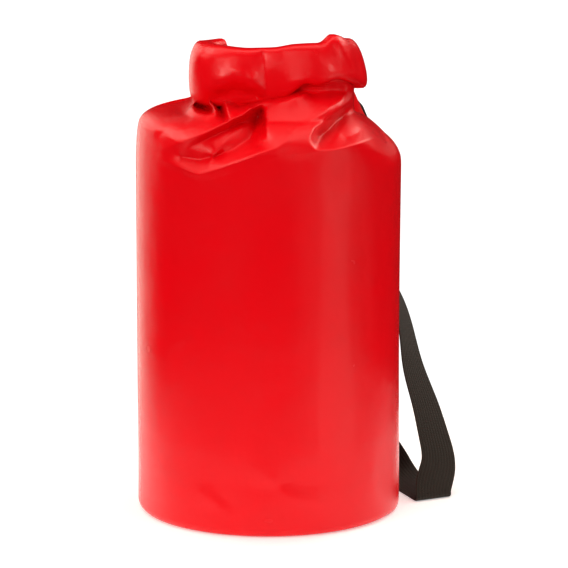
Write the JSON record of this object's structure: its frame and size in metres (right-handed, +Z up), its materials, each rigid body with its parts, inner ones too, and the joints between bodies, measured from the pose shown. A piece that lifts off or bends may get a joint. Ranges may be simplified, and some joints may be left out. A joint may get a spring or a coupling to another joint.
{
  "type": "roll-top dry bag",
  "caption": "Round waterproof bag of coated fabric, its rolled top buckled into a ring, with a webbing shoulder strap on rings behind.",
  "frame": {"origin": "centre of the base, on the surface the bag stands on", "axes": "+Z up, -Y to the front of the roll, +X to the side that the strap hangs on"},
  "size_m": [0.3037, 0.2582, 0.4531],
  "materials": {
    "shell": "satin",
    "trim": "satin",
    "webbing": "matte",
    "plastic": "satin",
    "stiffener": "satin",
    "ring": "satin",
    "thread": "matte"
  },
  "bodies": {
    "bag": {"body_tube": "shell", "base_dish": "shell", "back_seam_tape": "trim", "gathered_neck": "shell", "rolled_collar": "shell", "hem_lap": "trim", "stiffener_inner": "stiffener", "stiffener_outer": "stiffener", "closure_webbing": "webbing", "closure_tail_right": "webbing", "closure_tail_left": "webbing", "buckle_female": "plastic", "upper_tab": "webbing", "strap_upper_run": "webbing", "strap_end_layer": "webbing", "lower_patch": "shell", "lower_tab": "webbing", "strap_lower_loop": "webbing", "tack_rows": "thread"},
    "plug": {"buckle_male": "plastic", "closure_loop_left": "webbing"},
    "arm_upper": {"buckle_arm_upper": "plastic"},
    "arm_lower": {"buckle_arm_lower": "plastic"},
    "upper_link": {"upper_ring": "ring"},
    "lower_link": {"lower_ring": "ring"},
    "slider": {"strap_adjuster": "plastic", "strap_end_loop": "webbing"},
    "strap": {"strap_main": "webbing"}
  },
  "joints": [
    {"name": "buckle_release", "type": "slide", "parent": "bag", "child": "plug", "axis": [-1, 0, 0], "range_m": [0, 0.026], "deforming": ["closure_tail_left"]},
    {"name": "arm_upper_squeeze", "type": "hinge", "parent": "plug", "child": "arm_upper", "pos_m": [0.0096, 0.09, 0.4175], "axis": [0, 1, 0], "range_deg": [0, 20]},
    {"name": "arm_lower_squeeze", "type": "hinge", "parent": "plug", "child": "arm_lower", "pos_m": [0.0096, 0.09, 0.4025], "axis": [0, -1, 0], "range_deg": [0, 20]},
    {"name": "strap_swing", "type": "hinge", "parent": "bag", "child": "strap", "pos_m": [0.0905, 0.11584, 0.15], "axis": [0, 0, 1], "range_deg": [0, 100]},
    {"name": "slider_travel", "type": "slide", "parent": "bag", "child": "slider", "axis": [-0.0979, -0.1254, 0.9873], "range_m": [0, 0.03], "deforming": ["strap_end_layer"]},
    {"name": "upper_ring_swing", "type": "hinge", "parent": "bag", "child": "upper_link", "pos_m": [0.07973, 0.10205, 0.357], "axis": [0.788, -0.6157, 0], "range_deg": [-6, 10]},
    {"name": "lower_ring_swing", "type": "hinge", "parent": "bag", "child": "lower_link", "pos_m": [0.08034, 0.10283, 0.112], "axis": [0.788, -0.6157, 0], "range_deg": [-6, 10]}
  ],
  "couplings": [
    {"joint": "arm_upper_squeeze", "follows": "buckle_release", "rad_per_m": 13.4},
    {"joint": "arm_lower_squeeze", "follows": "buckle_release", "rad_per_m": 13.4}
  ]
}
